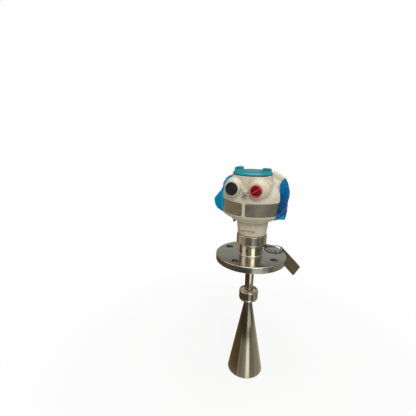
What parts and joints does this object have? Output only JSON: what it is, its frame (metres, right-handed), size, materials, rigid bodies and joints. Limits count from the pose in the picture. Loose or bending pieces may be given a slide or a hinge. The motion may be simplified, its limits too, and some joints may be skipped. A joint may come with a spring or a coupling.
{
  "type": "radar level transmitter",
  "caption": "Horn-antenna level transmitter on a bolted process flange, with a cast head, screw lid, plugged cable entries, film wrap and hanging tag.",
  "frame": {"origin": "centre of the flange's raised sealing face", "axes": "+Z along the antenna axis towards the head; -Y to the front, where the two cable entries are"},
  "size_m": [0.2018, 0.1667, 0.5277],
  "materials": {
    "stainless_turned": "turned, fine circular tool marks",
    "stainless_polished": "polished",
    "stainless_satin": "brushed along the cone",
    "module_brass": "machined",
    "white_ptfe": "waxy white",
    "cream_paint": "cream powder coat, fine orange peel",
    "black_rubber": "matt",
    "dark_steel": "blackened",
    "plate_steel": "etched, satin",
    "zinc_steel": "bright plated",
    "black_plastic": "moulded",
    "green_plastic": "moulded",
    "teal_paint": "teal powder coat",
    "red_plastic": "moulded",
    "blue_film": "translucent film",
    "tag_steel": "dull stamped sheet"
  },
  "bodies": {
    "base": {"flange": "stainless_turned", "process_neck": "stainless_polished", "microwave_module": "module_brass", "waveguide_tube": "stainless_polished", "horn_hub": "stainless_polished", "horn": "stainless_satin", "emitter": "white_ptfe", "tag_plate": "tag_steel", "tag_loop": "stainless_polished", "tag_ferrule": "stainless_polished"},
    "head": {"head_casting": "cream_paint", "head_seal": "black_rubber", "swivel_lock_screw": "dark_steel", "nameplate_left": "plate_steel", "nameplate_right": "plate_steel", "nameplate_pins": "zinc_steel", "earth_screw": "zinc_steel", "earth_washer": "zinc_steel", "electronics_module": "black_plastic", "module_screws": "zinc_steel", "terminal_block": "green_plastic", "terminal_screws": "zinc_steel", "protective_film": "blue_film"},
    "lid_thread": {"lid_seal": "black_rubber"},
    "lid": {"screw_lid": "teal_paint"},
    "left_cap": {"entry_cap_left": "black_plastic"},
    "plug_thread": {"entry_washer_right": "red_plastic"},
    "right_plug": {"entry_plug_right": "red_plastic"}
  },
  "joints": [
    {"name": "head_swivel", "type": "hinge", "parent": "base", "child": "head", "pos_m": [0, 0, 0.0685], "axis": [0, 0, 1], "range_deg": [-175, 175]},
    {"name": "lid_lift", "type": "slide", "parent": "head", "child": "lid_thread", "axis": [0, 0, 1], "range_m": [0, 0.016]},
    {"name": "lid_turn", "type": "hinge", "parent": "lid_thread", "child": "lid", "pos_m": [0, -0.017, 0.2098], "axis": [0, 0, 1], "range_deg": [0, 1920]},
    {"name": "left_cap_pull", "type": "slide", "parent": "head", "child": "left_cap", "axis": [0, -1, 0], "range_m": [0, 0.02]},
    {"name": "right_plug_travel", "type": "slide", "parent": "head", "child": "plug_thread", "axis": [0, -1, 0], "range_m": [0, 0.0165]},
    {"name": "right_plug_turn", "type": "hinge", "parent": "plug_thread", "child": "right_plug", "pos_m": [0.0266, -0.072, 0.1826], "axis": [0, -1, 0], "range_deg": [0, 3960]}
  ],
  "couplings": [
    {"joint": "lid_lift", "follows": "lid_turn", "m_per_rad": 0.00047746},
    {"joint": "right_plug_travel", "follows": "right_plug_turn", "m_per_rad": 0.00023873}
  ]
}
